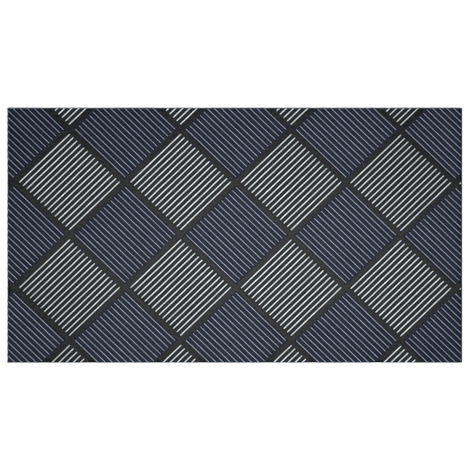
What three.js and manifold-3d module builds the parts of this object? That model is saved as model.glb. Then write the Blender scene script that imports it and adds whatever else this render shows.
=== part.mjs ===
// A door mat: a rubber backing, a dark felt face bonded on it, and panels of raised ribs on the face.
// The panels stand on their corners in a chequer of two colours, with flat bands of felt between them.
// Millimetres, +Z up. The origin is the middle of the underside; X runs along the mat's long side.

import * as THREE from 'three';
import { mergeVertices } from 'three/addons/utils/BufferGeometryUtils.js';
import Module from 'manifold-3d';

const wasm = await Module();
wasm.setup();

// The mat
const MAT_LENGTH = 700;
const MAT_WIDTH = 392;
const BACKING_THICKNESS = 2.5;
const FELT_THICKNESS = 2;
const BARE_RIGHT_EDGE = 2;

// The chequer: panels of one colour repeat at this spacing along and across the mat
const SPACING_ALONG = 170;
const SPACING_ACROSS = 162.5;

// The pattern isn't laid quite evenly: how far its panels stand off that grid, towards +X and +Y, at
// the mat's left end, its middle and its right end
const DRIFT_ALONG = [-0.8, 1.7, -0.8];
const DRIFT_ACROSS = [0.4, 0.8, -1];

// A panel is a thin web with ribs on it, measured before it is squeezed to the chequer's proportions
const CELL_SIDE = SPACING_ALONG / Math.SQRT2;
const BAND_WIDTH = 6.6;
const PANEL_SIDE = CELL_SIDE - BAND_WIDTH;
const WEB_THICKNESS = 0.4;
const RIBS_PER_PANEL = 15;
const RIB_LENGTH = 110;
const RIB_PITCH = 7.73;
const RIB_BASE_WIDTH = 5;
const RIB_CREST_WIDTH = 1.4;
const RIB_HEIGHT = 2.1;

const SQUEEZE = SPACING_ACROSS / SPACING_ALONG;
const PANEL_REACH_ALONG = PANEL_SIDE / Math.SQRT2;
const PANEL_REACH_ACROSS = PANEL_REACH_ALONG * SQUEEZE;
const FACE_HEIGHT = BACKING_THICKNESS + FELT_THICKNESS;

const rubberBlack = new THREE.MeshStandardMaterial({ color: 0x1c1d1e, roughness: 0.85, metalness: 0 });
const feltCharcoal = new THREE.MeshStandardMaterial({ color: 0x34383a, roughness: 1, metalness: 0 });
const ribSilver = new THREE.MeshStandardMaterial({ color: 0xc4c8c9, roughness: 0.9, metalness: 0 });
const ribBlue = new THREE.MeshStandardMaterial({ color: 0x5a638f, roughness: 0.9, metalness: 0 });

function toSolid(geometry) {
  const bare = geometry.clone();
  bare.deleteAttribute('normal');
  bare.deleteAttribute('uv');
  const merged = mergeVertices(bare);
  const triVerts = new Uint32Array(merged.index.array);
  const vertProperties = new Float32Array(merged.attributes.position.array);
  return new wasm.Manifold(new wasm.Mesh({ numProp: 3, vertProperties, triVerts }));
}

function toGeometry(solid) {
  const mesh = solid.getMesh();
  const geometry = new THREE.BufferGeometry();
  geometry.setAttribute('position', new THREE.BufferAttribute(mesh.vertProperties, 3));
  geometry.setIndex(new THREE.BufferAttribute(mesh.triVerts, 1));
  geometry.computeVertexNormals();
  return geometry;
}

function sheet(thickness, bottom) {
  const geometry = new THREE.BoxGeometry(MAT_LENGTH, MAT_WIDTH, thickness);
  geometry.translate(0, 0, bottom + thickness / 2);
  return geometry;
}

// One rib along Y: a rounded ridge whose lower half, mirrored by the bevel, is trimmed off later
function ribGeometry() {
  const flank = (RIB_BASE_WIDTH - RIB_CREST_WIDTH) / 2;
  const halfCrest = RIB_CREST_WIDTH / 2;
  const halfLength = RIB_LENGTH / 2 - flank;
  const crest = new THREE.Shape([
    new THREE.Vector2(-halfCrest, -halfLength),
    new THREE.Vector2(halfCrest, -halfLength),
    new THREE.Vector2(halfCrest, halfLength),
    new THREE.Vector2(-halfCrest, halfLength),
  ]);
  return new THREE.ExtrudeGeometry(crest, {
    depth: WEB_THICKNESS,
    bevelSize: flank,
    bevelThickness: RIB_HEIGHT,
    bevelSegments: 2,
  });
}

// A whole panel about its own centre, its web's underside at height 0, its ribs turned from Y by turn
function panelSolid(turn) {
  const web = new THREE.BoxGeometry(PANEL_SIDE, PANEL_SIDE, WEB_THICKNESS);
  web.translate(0, 0, WEB_THICKNESS / 2);
  web.rotateZ(turn);
  web.scale(1, SQUEEZE, 1);
  let panel = toSolid(web);
  for (let i = 0; i < RIBS_PER_PANEL; i += 1) {
    const rib = ribGeometry();
    rib.translate((i - (RIBS_PER_PANEL - 1) / 2) * RIB_PITCH, 0, 0);
    rib.rotateZ(turn);
    rib.scale(1, SQUEEZE, 1);
    panel = panel.add(toSolid(rib));
  }
  return panel;
}

// A smooth line through the drift at the two ends and the middle
function driftAt(x, [left, middle, right]) {
  const share = x / (MAT_LENGTH / 2);
  return middle + ((right - left) / 2) * share + ((left + right) / 2 - middle) * share * share;
}

// The room above the face that a panel centred at (x, y) may fill, seen from that centre
function roomAbout(x, y) {
  const height = WEB_THICKNESS + 2 * RIB_HEIGHT;
  const room = new THREE.BoxGeometry(MAT_LENGTH - BARE_RIGHT_EDGE, MAT_WIDTH, height);
  room.translate(-BARE_RIGHT_EDGE / 2 - x, -y, height / 2);
  return toSolid(room);
}

const mat = new THREE.Group();

function addPiece(name, geometry, material, x = 0, y = 0, z = 0) {
  const piece = new THREE.Mesh(geometry, material);
  piece.name = name;
  piece.position.set(x, y, z);
  mat.add(piece);
}

addPiece('rubber_backing', sheet(BACKING_THICKNESS, 0), rubberBlack);
addPiece('felt_face', sheet(FELT_THICKNESS, BACKING_THICKNESS), feltCharcoal);

// Panels stand at every second crossing of a grid of half spacings: blue on the even lines, silver
// on the odd ones. Rows are numbered from the far edge and columns from the left one.
const blueWhole = panelSolid(Math.PI / 4);
const silverWhole = panelSolid(-Math.PI / 4);
const lastColumn = Math.floor((MAT_LENGTH / 2 + PANEL_REACH_ALONG) / (SPACING_ALONG / 2));
const lastRow = Math.floor((MAT_WIDTH / 2 + PANEL_REACH_ACROSS) / (SPACING_ACROSS / 2));

for (let row = -lastRow; row <= lastRow; row += 1) {
  for (let column = -lastColumn; column <= lastColumn; column += 1) {
    const blue = row % 2 === 0 && column % 2 === 0;
    const silver = row % 2 !== 0 && column % 2 !== 0;
    if (!blue && !silver) continue;
    const gridX = (column * SPACING_ALONG) / 2;
    const gridY = (-row * SPACING_ACROSS) / 2;
    const x = gridX + driftAt(gridX, DRIFT_ALONG);
    const y = gridY + driftAt(gridX, DRIFT_ACROSS);
    const trimmed = (blue ? blueWhole : silverWhole).intersect(roomAbout(x, y));
    if (trimmed.isEmpty()) continue;
    const place = `r${row + lastRow + 1}_c${column + lastColumn + 1}`;
    const name = blue ? `blue_rib_panel_${place}` : `silver_rib_panel_${place}`;
    addPiece(name, toGeometry(trimmed), blue ? ribBlue : ribSilver, x, y, FACE_HEIGHT);
  }
}

export default mat;
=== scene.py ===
"""The looks of a door mat: a rubber backing, a felt face on it, and panels of raised ribs on the face.

Metres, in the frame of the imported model: +Z up, the mat's long side along X, its underside at height 0.
"""

import math

import bmesh
import bpy
import numpy as np
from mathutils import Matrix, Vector, noise


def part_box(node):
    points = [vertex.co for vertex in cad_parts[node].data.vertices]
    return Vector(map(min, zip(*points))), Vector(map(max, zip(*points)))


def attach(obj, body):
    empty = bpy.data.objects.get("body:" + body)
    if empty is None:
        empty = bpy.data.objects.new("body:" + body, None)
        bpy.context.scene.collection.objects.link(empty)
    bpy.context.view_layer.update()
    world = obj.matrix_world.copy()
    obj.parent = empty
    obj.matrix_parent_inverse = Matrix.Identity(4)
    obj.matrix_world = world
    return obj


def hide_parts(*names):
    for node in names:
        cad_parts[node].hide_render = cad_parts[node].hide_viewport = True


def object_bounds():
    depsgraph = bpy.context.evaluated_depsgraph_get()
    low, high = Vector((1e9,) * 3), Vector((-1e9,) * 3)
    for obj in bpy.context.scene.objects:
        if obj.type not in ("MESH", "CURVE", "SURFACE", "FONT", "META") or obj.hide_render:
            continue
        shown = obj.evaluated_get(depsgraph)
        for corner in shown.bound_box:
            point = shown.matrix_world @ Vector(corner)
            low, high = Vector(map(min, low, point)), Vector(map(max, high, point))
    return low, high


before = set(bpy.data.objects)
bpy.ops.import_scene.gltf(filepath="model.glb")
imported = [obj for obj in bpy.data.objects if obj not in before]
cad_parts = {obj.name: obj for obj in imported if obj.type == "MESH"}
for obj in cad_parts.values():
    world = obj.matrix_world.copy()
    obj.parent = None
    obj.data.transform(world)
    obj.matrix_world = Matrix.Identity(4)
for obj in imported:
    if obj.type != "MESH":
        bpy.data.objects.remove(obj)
cad_low, cad_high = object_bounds()

MM = 0.001
SEED = 7

# The rib panels: what the CAD model's panels are made to.
RIBS = 15
RIB_PITCH = 7.73 * MM
RIB_LENGTH = 110 * MM
WEB_THICKNESS = 0.4 * MM

# The finer shape that the ribs get here.
RIB_HALF_WIDTH = 2.5 * MM
RIB_END_ROUND = 1.2 * MM
RIB_CROWN_POWER = 1.3
RIB_STEPS_ACROSS = 14
STATION_SPACING = 4.0 * MM
END_STATIONS = 6
VALLEY_STEP = 0.6 * MM
CREST_END = RIB_LENGTH / 2 - 0.8 * MM
WEB_MARGIN = 0.18 * MM
WEB_EDGE_THICKNESS = 0.08 * MM

# How far a rib strays from straight and even, in how many places along it that is drawn afresh, and how
# wide its tips are, as a share of its own width.
RIB_SWAY = 0.10 * MM
SWAY_KNOTS = 12
WIDTH_CHANGE = 0.06
WIDTH_KNOTS = 16
HEIGHT_CHANGE = 0.04
HEIGHT_KNOTS = 14
TIP_WIDTH = 0.3

# The felt's lumps: how high, how many to a metre, where the noise that makes them is cut, and how far
# apart the points are that carry them.
LUMP_HEIGHT = 0.06 * MM
LUMPS_PER_METRE = 90
LUMP_SLICE = 3.0
FELT_SPACING = 4 * MM

# The waffle under the rubber.
PIT_PITCH = 10 * MM
PIT_LAND = 3 * MM
PIT_WALL = 0.5 * MM
PIT_DEPTH = 0.6 * MM

# A panel that no edge of the mat cuts, and the room within which a side counts as cut.
WHOLE_PANEL = "blue_rib_panel_r4_c6"
EDGE_ROOM = 2.5 * MM

# How near to the cut a point may be and still count as on it.
CUT_TOLERANCE = 1e-7


# ---------------------------------------------------------------- places read from the frame

FELT_LOW, FELT_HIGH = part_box("felt_face")
RUBBER_LOW, RUBBER_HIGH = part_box("rubber_backing")
panel_low, panel_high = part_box(WHOLE_PANEL)
PANEL_REACH = (panel_high - panel_low) / 2
SQUEEZE = PANEL_REACH.y / PANEL_REACH.x
PANEL_SIDE = PANEL_REACH.x * math.sqrt(2)
WEB_BOTTOM = panel_low.z
RIB_HEIGHT = panel_high.z - WEB_BOTTOM - WEB_THICKNESS


def panel_centre(node):
    """Where a panel's middle is, told from the sides that the mat's edge doesn't cut off."""
    low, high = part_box(node)
    centre = (low + high) / 2
    for axis in (0, 1):
        if low[axis] < FELT_LOW[axis] + EDGE_ROOM:
            centre[axis] = high[axis] - PANEL_REACH[axis]
        elif high[axis] > FELT_HIGH[axis] - EDGE_ROOM:
            centre[axis] = low[axis] + PANEL_REACH[axis]
    return centre.x, centre.y


# ---------------------------------------------------------------- meshes

def new_piece(name, mesh, material, nodes):
    """An object that rides on the mat's one body and stands for these CAD nodes."""
    piece = bpy.data.objects.new(name, mesh)
    bpy.context.scene.collection.objects.link(piece)
    mesh.materials.append(material)
    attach(piece, "root")
    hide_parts(*nodes)
    return piece


def smooth(mesh):
    mesh.shade_smooth()
    return mesh


def stations():
    """Places along a rib, closer together at its rounded ends, and out to the panel's edges."""
    straight = RIB_LENGTH / 2 - RIB_END_ROUND
    count = round(2 * straight / STATION_SPACING)
    inner = np.linspace(-straight, straight, count + 1)
    turns = np.linspace(0, math.pi / 2, END_STATIONS + 1)[1:]
    rounded = straight + RIB_END_ROUND * np.sin(turns)
    margin = [PANEL_SIDE / 2 - WEB_MARGIN, PANEL_SIDE / 2]
    outer = np.concatenate([rounded, margin])
    return np.concatenate([-outer[::-1], inner, outer])


def columns():
    """Places across a panel, and the middle of the rib that each belongs to."""
    ribs = (np.arange(RIBS) - (RIBS - 1) / 2) * RIB_PITCH
    on_rib = np.linspace(-RIB_HALF_WIDTH, RIB_HALF_WIDTH, RIB_STEPS_ACROSS + 1)
    valley = [RIB_PITCH / 2 - VALLEY_STEP, RIB_PITCH / 2]
    offsets = np.concatenate([[-valley[0]], on_rib, valley])
    middles = np.repeat(ribs, len(offsets))
    places = middles + np.tile(offsets, RIBS)
    keep = np.abs(places) < PANEL_SIDE / 2 - WEB_MARGIN
    edges = np.array([PANEL_SIDE / 2 - WEB_MARGIN, PANEL_SIDE / 2])
    places = np.concatenate([-edges[::-1], places[keep], edges])
    middles = np.concatenate([[ribs[0]] * 2, middles[keep], [ribs[-1]] * 2])
    return places, middles


def rib_fade(along):
    """1 along a rib, falling to 0 in a quarter circle at its ends."""
    past = (np.abs(along) - (RIB_LENGTH / 2 - RIB_END_ROUND)) / RIB_END_ROUND
    return np.sqrt(np.clip(1 - np.clip(past, 0, 1) ** 2, 0, 1))


def smooth_noise(rng, shape, knots):
    """Smooth random lines, about from -1 to 1: one for each rib, and a point for each station."""
    count, ribs = shape
    values = rng.uniform(-1, 1, (knots, ribs))
    place = np.linspace(0, knots - 1, count)
    low = np.clip(place.astype(int), 0, knots - 2)
    t = (place - low)[:, None]
    t = t * t * (3 - 2 * t)
    return values[low] * (1 - t) + values[low + 1] * t


def panel_grid(rng):
    """A whole panel's upper surface in its own plane, as grids.

    They are the place across and along the ribs, the height, and the distance from the nearest crest.
    """
    along = stations()
    places, middles = columns()
    rib = np.round(middles / RIB_PITCH + (RIBS - 1) / 2).astype(int)
    fade = rib_fade(along)[:, None]
    shape = (len(along), RIBS)
    sway = RIB_SWAY * smooth_noise(rng, shape, SWAY_KNOTS)[:, rib]
    width = TIP_WIDTH + (1 - TIP_WIDTH) * fade
    width = width * (1 + WIDTH_CHANGE * smooth_noise(rng, shape, WIDTH_KNOTS)[:, rib])
    height = fade * (1 - HEIGHT_CHANGE + HEIGHT_CHANGE * smooth_noise(rng, shape, HEIGHT_KNOTS)[:, rib])

    offset = (places - middles)[None, :]
    room = np.minimum(RIB_PITCH / 2 - np.abs(offset), PANEL_SIDE / 2 - np.abs(places)[None, :])
    freedom = np.clip(room / WEB_MARGIN, 0, 1)
    shift = (offset * (width - 1) + sway) * freedom
    across = places[None, :] + shift
    along = np.repeat(along[:, None], len(places), 1)
    share = np.clip(np.abs(offset) / RIB_HALF_WIDTH, 0, 1)
    rise = np.cos(math.pi / 2 * share ** RIB_CROWN_POWER) ** 2 * height

    inside = PANEL_SIDE / 2 - np.maximum(np.abs(across), np.abs(along))
    feather = np.clip(inside / WEB_MARGIN, 0, 1)
    web = WEB_EDGE_THICKNESS + (WEB_THICKNESS - WEB_EDGE_THICKNESS) * feather
    from_line = np.abs(across - middles[None, :] - sway * freedom)
    from_end = np.maximum(np.abs(along) - CREST_END, 0)
    return across, along, web + rise * RIB_HEIGHT, np.hypot(from_line, from_end)


def trim_to_mat(mesh, low, high):
    """Cuts a closed mesh flush with the sides of a box, and closes the cuts."""
    shape = bmesh.new()
    shape.from_mesh(mesh)
    for axis in (0, 1):
        for corner, outward in ((low, -1), (high, 1)):
            normal = Vector((0, 0, 0))
            normal[axis] = outward
            everything = shape.verts[:] + shape.edges[:] + shape.faces[:]
            bmesh.ops.bisect_plane(
                shape,
                geom=everything,
                dist=CUT_TOLERANCE,
                plane_co=corner,
                plane_no=normal,
                clear_outer=True,
            )
            open_edges = [e for e in shape.edges if e.is_boundary]
            bmesh.ops.holes_fill(shape, edges=open_edges, sides=0)
    shape.to_mesh(mesh)
    shape.free()


def panel_mesh(node, silver):
    """A closed mesh of one panel: ribs and web above, flat below, trimmed as its CAD node is."""
    rng = np.random.default_rng([SEED, *node.encode()])
    across, along, height, off_crest = panel_grid(rng)
    rows, count = across.shape
    lean = 1 if silver else -1
    plane_x = (along + across) / math.sqrt(2)
    plane_y = (along - across) / math.sqrt(2) * lean * SQUEEZE
    x, y = panel_centre(node)
    top = np.stack([x + plane_x, y + plane_y, WEB_BOTTOM + height], -1).reshape(-1, 3)
    index = np.arange(rows * count).reshape(rows, count)
    rim = np.concatenate([index[0, :-1], index[:-1, -1], index[-1, :0:-1], index[:0:-1, 0]])
    bottom = top[rim].copy()
    bottom[:, 2] = WEB_BOTTOM
    below = rows * count + np.arange(len(rim))
    quads = np.stack([index[:-1, :-1], index[:-1, 1:], index[1:, 1:], index[1:, :-1]], -1).reshape(-1, 4)
    skirt = np.stack([rim, below, np.roll(below, -1), np.roll(rim, -1)], -1)
    faces = quads.tolist() + skirt.tolist() + [below[::-1].tolist()]
    if not silver:
        faces = [face[::-1] for face in faces]
    mesh = bpy.data.meshes.new(node)
    mesh.from_pydata(np.concatenate([top, bottom]).tolist(), [], faces)
    attribute = mesh.attributes.new("off_crest", "FLOAT", "POINT")
    far = np.full(len(rim), RIB_PITCH / 2)
    attribute.data.foreach_set("value", np.concatenate([off_crest.ravel(), far]) / MM)
    low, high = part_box(node)
    trim_to_mat(mesh, low, high)
    return smooth(mesh)


def sheet_grid(low, high, spacing):
    """Even rows of points over a rectangle, no further apart than spacing."""
    xs = np.linspace(low.x, high.x, round((high.x - low.x) / spacing) + 1)
    ys = np.linspace(low.y, high.y, round((high.y - low.y) / spacing) + 1)
    return np.meshgrid(xs, ys)


def closed_sheet(name, x, y, top, bottom):
    """A closed mesh from two height grids over the same points, joined by a wall all round."""
    rows, columns = x.shape
    count = rows * columns
    points = np.concatenate(
        [np.stack([x, y, top], -1).reshape(-1, 3), np.stack([x, y, bottom], -1).reshape(-1, 3)]
    )
    index = np.arange(count).reshape(rows, columns)
    upper = np.stack([index[:-1, :-1], index[:-1, 1:], index[1:, 1:], index[1:, :-1]], -1).reshape(-1, 4)
    lower = upper[:, ::-1] + count
    rim = np.concatenate([index[0, :-1], index[:-1, -1], index[-1, :0:-1], index[:0:-1, 0]])
    wall = np.stack([rim, rim + count, np.roll(rim, -1) + count, np.roll(rim, -1)], -1)
    mesh = bpy.data.meshes.new(name)
    mesh.from_pydata(points.tolist(), [], np.concatenate([upper, lower, wall]).tolist())
    return mesh


def felt_mesh():
    """A slightly lumpy sheet with a flat underside."""
    x, y = sheet_grid(FELT_LOW, FELT_HIGH, FELT_SPACING)
    spots = np.stack([x.ravel(), y.ravel()], -1) * LUMPS_PER_METRE
    lumps = np.array([noise.noise(Vector((a, b, LUMP_SLICE))) for a, b in spots])
    top = FELT_HIGH.z + LUMP_HEIGHT * lumps.reshape(x.shape)
    bottom = np.full_like(x, FELT_LOW.z)
    return smooth(closed_sheet("felt_face", x, y, top, bottom))


def pit_lines(low, high):
    """Grid lines along one side of the waffle, and which of them bound the floors of its pits."""
    count = round((high - low) / PIT_PITCH)
    cell = (high - low) / count
    offsets = [PIT_LAND / 2, PIT_LAND / 2 + PIT_WALL, cell - PIT_LAND / 2 - PIT_WALL, cell - PIT_LAND / 2]
    lines = low + cell * np.arange(count)[:, None] + offsets
    deep = np.zeros(lines.shape, bool)
    deep[1:-1, 1:3] = True
    return np.concatenate([[low], lines.ravel(), [high]]), np.pad(deep.ravel(), 1)


def rubber_mesh():
    """The underside has a waffle of shallow square pits with flat floors, all inside a flat rim."""
    xs, deep_x = pit_lines(RUBBER_LOW.x, RUBBER_HIGH.x)
    ys, deep_y = pit_lines(RUBBER_LOW.y, RUBBER_HIGH.y)
    x, y = np.meshgrid(xs, ys)
    bottom = RUBBER_LOW.z + PIT_DEPTH * (deep_y[:, None] & deep_x[None, :])
    top = np.full_like(x, RUBBER_HIGH.z)
    return closed_sheet("rubber_backing", x, y, top, bottom)


# ---------------------------------------------------------------- materials

# Fibres: the angles they lie at, from the X axis or from their rib's own direction, their size, about
# the mean of their height, which runs from 0 to 1, and the bump they make.
FELT_FIBRE_TURNS = (0.3, 1.4, 2.5)
FELT_FIBRE_LENGTH = 2.4 * MM
FELT_FIBRE_WIDTH = 0.24 * MM
RIB_FIBRE_TURNS = (-0.25, 0.2)
RIB_FIBRE_LENGTH = 3.2 * MM
RIB_FIBRE_WIDTH = 0.26 * MM
FIBRE_MEAN = 0.55
FIBRE_BUMP = 0.28 * MM
FIBRE_BUMP_STRENGTH = 0.8

# Distances from a crest, in mm as the off_crest attribute has them: how soft its colour's edge is, how far
# the fibres draw it in and out, and where the painted shade on the flanks turns to floor.
CREST_SOFTNESS = 0.12
CREST_RAGGEDNESS = 0.7
FLOOR_STARTS = 2.3
FLOOR_FULL = 3.2


class Nodes:
    """A short way to write a material's nodes."""

    def __init__(self, name):
        self.material = bpy.data.materials.new(name)
        self.material.use_nodes = True
        self.tree = self.material.node_tree
        self.shader = self.tree.nodes["Principled BSDF"]

    def add(self, kind, **settings):
        node = self.tree.nodes.new(kind)
        for key, value in settings.items():
            setattr(node, key, value)
        return node

    def link(self, source, target):
        self.tree.links.new(source, target)

    def put(self, value, socket):
        if isinstance(value, bpy.types.NodeSocket):
            self.link(value, socket)
        else:
            socket.default_value = value

    def math(self, operation, a, b=0.0, c=0.0):
        node = self.add("ShaderNodeMath", operation=operation)
        for value, socket in zip((a, b, c), node.inputs):
            self.put(value, socket)
        return node.outputs[0]

    def line(self, value, slope, start):
        """The straight line start + slope * value."""
        return self.math("MULTIPLY_ADD", value, slope, start)

    def mix(self, share, a, b):
        node = self.add("ShaderNodeMix", data_type="RGBA")
        self.put(share, node.inputs["Factor"])
        self.put(a, node.inputs["A"])
        self.put(b, node.inputs["B"])
        return node.outputs["Result"]

    def ramp(self, value, low, high):
        """A smooth step from 0 where the value is low to 1 where it is high."""
        node = self.add("ShaderNodeMapRange", interpolation_type="SMOOTHSTEP")
        self.put(value, node.inputs["Value"])
        self.put(low, node.inputs["From Min"])
        self.put(high, node.inputs["From Max"])
        return node.outputs["Result"]

    def place(self, scale=(1, 1, 1), turn=0):
        """The point on the object, in metres, turned about Z and then stretched."""
        spot = self.add("ShaderNodeTexCoord").outputs["Object"]
        turned = self.add("ShaderNodeVectorRotate", rotation_type="Z_AXIS")
        self.link(spot, turned.inputs["Vector"])
        turned.inputs["Angle"].default_value = turn
        stretched = self.add("ShaderNodeVectorMath", operation="MULTIPLY")
        self.link(turned.outputs[0], stretched.inputs[0])
        stretched.inputs[1].default_value = scale
        return stretched.outputs[0]

    def noise(self, where, scale, detail):
        """Noise with about this many lumps to each unit of the place, which is a metre unless stretched."""
        node = self.add("ShaderNodeTexNoise")
        self.link(where, node.inputs["Vector"])
        node.inputs["Scale"].default_value = scale
        node.inputs["Detail"].default_value = detail
        return node.outputs["Fac"]

    def fibres(self, turns, length, width):
        """Long thin fibres that lie at these angles over one another: the height of the highest."""
        height = 0.0
        for turn in turns:
            where = self.place((1 / length, 1 / width, 1 / width), turn)
            height = self.math("MAXIMUM", height, self.noise(where, scale=1, detail=2))
        return height

    def shade(self, tint, amount):
        """A colour made lighter or darker by an amount that may vary."""
        node = self.add("ShaderNodeVectorMath", operation="SCALE")
        self.put(tint, node.inputs["Vector"])
        self.put(amount, node.inputs["Scale"])
        return node.outputs["Vector"]

    def bump(self, height, distance, strength):
        node = self.add("ShaderNodeBump")
        node.inputs["Distance"].default_value = distance
        node.inputs["Strength"].default_value = strength
        self.link(height, node.inputs["Height"])
        self.link(node.outputs["Normal"], self.shader.inputs["Normal"])


def colour(red, green, blue):
    return (red, green, blue, 1.0)


def felt_material():
    """Needled felt: fibres lying every way, matted into small tufts."""
    n = Nodes("charcoal_felt")
    fibres = n.fibres(FELT_FIBRE_TURNS, FELT_FIBRE_LENGTH, FELT_FIBRE_WIDTH)
    tufts = n.noise(n.place(), scale=280, detail=3)
    blotches = n.noise(n.place(), scale=40, detail=2)
    charcoal = n.mix(blotches, colour(0.012, 0.0124, 0.0126), colour(0.019, 0.0197, 0.020))
    fibre_light = n.line(n.ramp(fibres, low=0.48, high=0.75), slope=1.6, start=0.1)
    tuft_light = n.ramp(tufts, low=0.3, high=0.75)
    light = n.math("MULTIPLY", fibre_light, tuft_light)
    n.link(n.shade(charcoal, light), n.shader.inputs["Base Color"])
    n.link(n.line(tufts, slope=0.4, start=0.18), n.shader.inputs["Roughness"])
    n.shader.inputs["Specular IOR Level"].default_value = 0.12
    n.bump(n.line(tufts, slope=2.5, start=fibres), FIBRE_BUMP, FIBRE_BUMP_STRENGTH)
    return n.material


def rib_material(name, turn, crest_half_width, crest, crest_dark, crest_shine, floor, painted_flank_shade):
    """Fibre ribs: light crests, flanks painted dark as shade, and a floor in between, by the distance from
    the crest in mm.
    """
    n = Nodes(name)
    off_crest = n.add("ShaderNodeAttribute", attribute_name="off_crest").outputs["Fac"]
    turns = [turn + lean for lean in RIB_FIBRE_TURNS]
    fibres = n.fibres(turns, RIB_FIBRE_LENGTH, RIB_FIBRE_WIDTH)
    tufts = n.noise(n.place(), scale=600, detail=2)
    ragged = n.line(n.math("SUBTRACT", fibres, FIBRE_MEAN), CREST_RAGGEDNESS, off_crest)
    on_crest = n.ramp(ragged, crest_half_width + CREST_SOFTNESS, crest_half_width - CREST_SOFTNESS)
    on_floor = n.ramp(ragged, FLOOR_STARTS, FLOOR_FULL)
    light = n.ramp(fibres, low=0.45, high=0.7)
    # The flank colour is painted shade: the rib's sides are drawn darker than the floor, where shade falls
    # on them.
    ground = n.shade(n.mix(on_floor, painted_flank_shade, floor), n.line(light, slope=1.5, start=0.25))
    crest_colour = n.mix(light, crest_dark, crest)
    n.link(n.mix(on_crest, ground, crest_colour), n.shader.inputs["Base Color"])
    n.link(n.math("MULTIPLY", on_crest, crest_shine), n.shader.inputs["Metallic"])
    n.link(n.line(tufts, slope=0.24, start=0.28), n.shader.inputs["Roughness"])
    n.shader.inputs["Specular IOR Level"].default_value = 0.10
    n.bump(n.line(tufts, slope=1.6, start=fibres), FIBRE_BUMP, FIBRE_BUMP_STRENGTH)
    return n.material


def rubber_material():
    """Black rubber with a fine grain and a little dust."""
    n = Nodes("black_rubber")
    grain = n.noise(n.place(), scale=900, detail=3)
    dust = n.noise(n.place(), scale=30, detail=3)
    black = colour(0.010, 0.0102, 0.0106)
    grey = colour(0.021, 0.021, 0.0215)
    dusty = n.ramp(dust, low=0.4, high=0.75)
    n.link(n.mix(dusty, black, grey), n.shader.inputs["Base Color"])
    n.link(n.line(grain, slope=0.2, start=0.6), n.shader.inputs["Roughness"])
    n.bump(grain, distance=0.05 * MM, strength=0.5)
    return n.material


# ---------------------------------------------------------------- the mat

silver = rib_material(
    "silver_ribs",
    math.radians(-45),
    crest_half_width=0.85,
    crest=colour(0.65, 0.675, 0.71),
    crest_dark=colour(0.33, 0.345, 0.365),
    crest_shine=0.42,
    floor=colour(0.0095, 0.0130, 0.0155),
    # Painted shade on the silver ribs' flanks.
    painted_flank_shade=colour(0.0022, 0.0026, 0.0030),
)
blue = rib_material(
    "blue_ribs",
    math.radians(45),
    crest_half_width=0.34,
    crest=colour(0.51, 0.55, 0.73),
    crest_dark=colour(0.25, 0.27, 0.38),
    crest_shine=0.22,
    floor=colour(0.0105, 0.0155, 0.0345),
    # Painted shade on the blue ribs' flanks.
    painted_flank_shade=colour(0.0010, 0.0017, 0.0068),
)
felt = felt_material()
rubber = rubber_material()

new_piece("rubber_sheet", rubber_mesh(), rubber, ["rubber_backing"])
felt_piece = new_piece("felt_sheet", felt_mesh(), felt, ["felt_face"])

for node in sorted(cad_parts):
    if "rib_panel" not in node:
        continue
    is_silver = node.startswith("silver")
    finish = silver if is_silver else blue
    name = node.replace("rib_panel", "ribs")
    new_piece(name, panel_mesh(node, is_silver), finish, [node])


# ---------------------------------------------------------------- floor, light and camera

# The stage floor's size, how far above the mat the camera is, how far off the mat's middle along X and Y,
# and how much of the picture's width the mat fills.
FLOOR_HALF_SIDE = 4.0
CAMERA_DISTANCE = 1.8
CAMERA_OFFSET = (0.17 * MM, 0.49 * MM)
WIDTH_SHARE = 0.968


def add_floor():
    half = FLOOR_HALF_SIDE
    corners = [(-half, -half), (half, -half), (half, half), (-half, half)]
    mesh = bpy.data.meshes.new("floor")
    mesh.from_pydata([(x, y, cad_low.z) for x, y in corners], [], [(0, 1, 2, 3)])
    floor = bpy.data.objects.new("floor", mesh)
    bpy.context.scene.collection.objects.link(floor)
    n = Nodes("floor_paper")
    n.shader.inputs["Base Color"].default_value = colour(0.92, 0.92, 0.92)
    n.shader.inputs["Roughness"].default_value = 0.9
    n.shader.inputs["Specular IOR Level"].default_value = 0.1
    mesh.materials.append(n.material)


def add_light(name, place, target, size, power):
    lamp = bpy.data.lights.new(name, "AREA")
    lamp.shape = "RECTANGLE"
    lamp.size, lamp.size_y = size
    lamp.energy = power
    holder = bpy.data.objects.new(name, lamp)
    holder.location = place
    holder.rotation_euler = (Vector(target) - Vector(place)).to_track_quat("-Z", "Y").to_euler()
    bpy.context.scene.collection.objects.link(holder)


def add_world(strength):
    world = bpy.data.worlds.new("studio")
    world.use_nodes = True
    background = world.node_tree.nodes["Background"]
    background.inputs["Color"].default_value = colour(1, 1, 1)
    background.inputs["Strength"].default_value = strength
    bpy.context.scene.world = world


def add_camera():
    """Straight above, as far off as a long lens stands, with the mat nearly as wide as the picture."""
    view_width = (cad_high.x - cad_low.x) / WIDTH_SHARE
    data = bpy.data.cameras.new("camera")
    data.sensor_width = 36
    data.lens = data.sensor_width * CAMERA_DISTANCE / view_width
    data.clip_start = 0.01
    data.clip_end = 100
    camera = bpy.data.objects.new("camera", data)
    camera.location = (*CAMERA_OFFSET, cad_high.z + CAMERA_DISTANCE)
    bpy.context.scene.collection.objects.link(camera)
    bpy.context.scene.camera = camera


add_floor()
add_world(strength=0.18)
add_light("overhead", place=(0.03, -0.06, 0.78), target=(0.03, -0.06, 0), size=(0.86, 0.18), power=10.2)
add_light("far_side", place=(0, 2.2, 1.6), target=(0, 0, 0), size=(1.6, 1.6), power=22)
add_light("near_side", place=(0, -2.2, 1.6), target=(0, 0, 0), size=(1.6, 1.6), power=4)
add_camera()
bpy.context.scene.view_settings.view_transform = "Standard"
